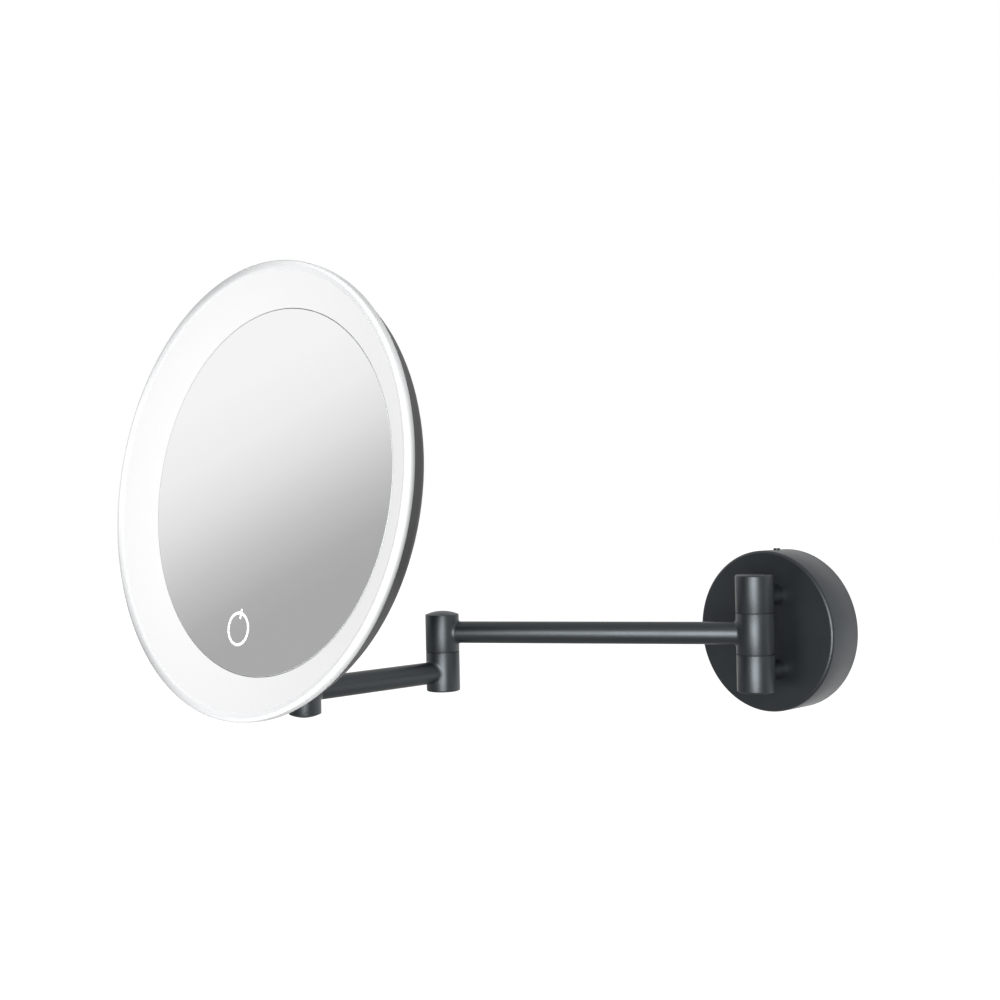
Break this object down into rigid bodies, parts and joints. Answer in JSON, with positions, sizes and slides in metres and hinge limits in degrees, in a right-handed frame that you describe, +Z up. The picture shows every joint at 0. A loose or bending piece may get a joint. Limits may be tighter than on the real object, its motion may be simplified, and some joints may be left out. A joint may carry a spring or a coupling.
{
  "type": "extendable shaving mirror",
  "caption": "Wall-mounted round shaving mirror with a lit acrylic ring on two swinging arms, with a swivel stem and a ball joint.",
  "frame": {"origin": "centre of the rosette's back on the wall plane", "axes": "+X to the right along the wall, +Z up, +Y into the wall, so the mirror stands off towards -Y"},
  "size_m": [0.2669, 0.2643, 0.2226],
  "materials": {
    "black_paint": "satin powder coat",
    "steel": "plain",
    "nylon": "graphite filled",
    "housing_plastic": "fine grain",
    "acrylic": "clear, frosted behind",
    "reflector": "white",
    "led": "clear",
    "mirror_glass": "polished",
    "frosted_mark": "frosted",
    "foam_tape": "plain",
    "copper": "plain",
    "circuit_board": "solder mask",
    "cell_foil": "foil",
    "rubber": "matt"
  },
  "bodies": {
    "wall_mount": {"wall_bracket": "steel", "rosette_cover": "black_paint", "cover_grub_screw": "black_paint", "stiffener_plate": "steel", "post_screws": "steel", "upper_post": "black_paint", "lower_post": "black_paint", "upper_wall_knuckle": "black_paint", "lower_wall_knuckle": "black_paint", "wall_hinge_pin": "steel", "wall_hinge_washers": "nylon"},
    "wall_arm": {"wall_arm_knuckle": "black_paint", "wall_arm_tube": "black_paint", "elbow_upper_barrel": "black_paint", "elbow_cap": "black_paint"},
    "mirror_arm": {"elbow_bolt": "steel", "elbow_spring_washer": "steel", "elbow_washer": "nylon", "elbow_lower_barrel": "black_paint", "mirror_arm_tube": "black_paint", "swivel_lower_barrel": "black_paint", "swivel_cap": "black_paint", "swivel_washer": "nylon"},
    "head_stem": {"swivel_bolt": "steel", "swivel_spring_washer": "steel", "swivel_upper_barrel": "black_paint", "stem_tube": "black_paint", "ball_stud": "steel"},
    "ball_seat": {"ball_seat": "nylon"},
    "mirror_head": {"socket_body": "housing_plastic", "socket_clamp": "housing_plastic", "clamp_screws": "steel", "socket_screws": "steel", "rear_housing": "housing_plastic", "housing_screws": "steel", "light_ring": "acrylic", "ring_reflector": "reflector", "led_board": "reflector", "leds": "led", "mirror_glass": "mirror_glass", "power_mark": "frosted_mark", "adhesive_pad": "foam_tape", "carrier_plate": "reflector", "touch_pad": "copper", "touch_contact": "rubber", "control_board": "circuit_board", "battery_cells": "cell_foil", "charging_port": "steel", "flap_anchor": "rubber"},
    "port_flap": {"port_flap": "rubber"}
  },
  "joints": [
    {"name": "wall_swing", "type": "hinge", "parent": "wall_mount", "child": "wall_arm", "pos_m": [0.0072, -0.0383, 0.00085], "axis": [0, 0, 1], "range_deg": [-30, 140]},
    {"name": "elbow_swing", "type": "hinge", "parent": "wall_arm", "child": "mirror_arm", "pos_m": [-0.12466, -0.12893, -0.009], "axis": [0, 0, 1], "range_deg": [-148, 36]},
    {"name": "head_swivel", "type": "hinge", "parent": "mirror_arm", "child": "head_stem", "pos_m": [-0.12376, -0.21492, -0.0107], "axis": [0, 0, 1], "range_deg": [-78, 78]},
    {"name": "head_tilt", "type": "hinge", "parent": "head_stem", "child": "ball_seat", "pos_m": [-0.12376, -0.21492, 0.0728], "axis": [-0.9943, -0.1063, 0], "range_deg": [-8, 24]},
    {"name": "head_roll", "type": "hinge", "parent": "ball_seat", "child": "mirror_head", "pos_m": [-0.12376, -0.21492, 0.0728], "axis": [0.1054, -0.9863, 0.1271], "range_deg": [-10, 30]},
    {"name": "flap_swing", "type": "hinge", "parent": "mirror_head", "child": "port_flap", "pos_m": [-0.08165, -0.2273, 0.01655], "axis": [-0.1594, -0.1429, -0.9768], "range_deg": [0, 110]}
  ]
}
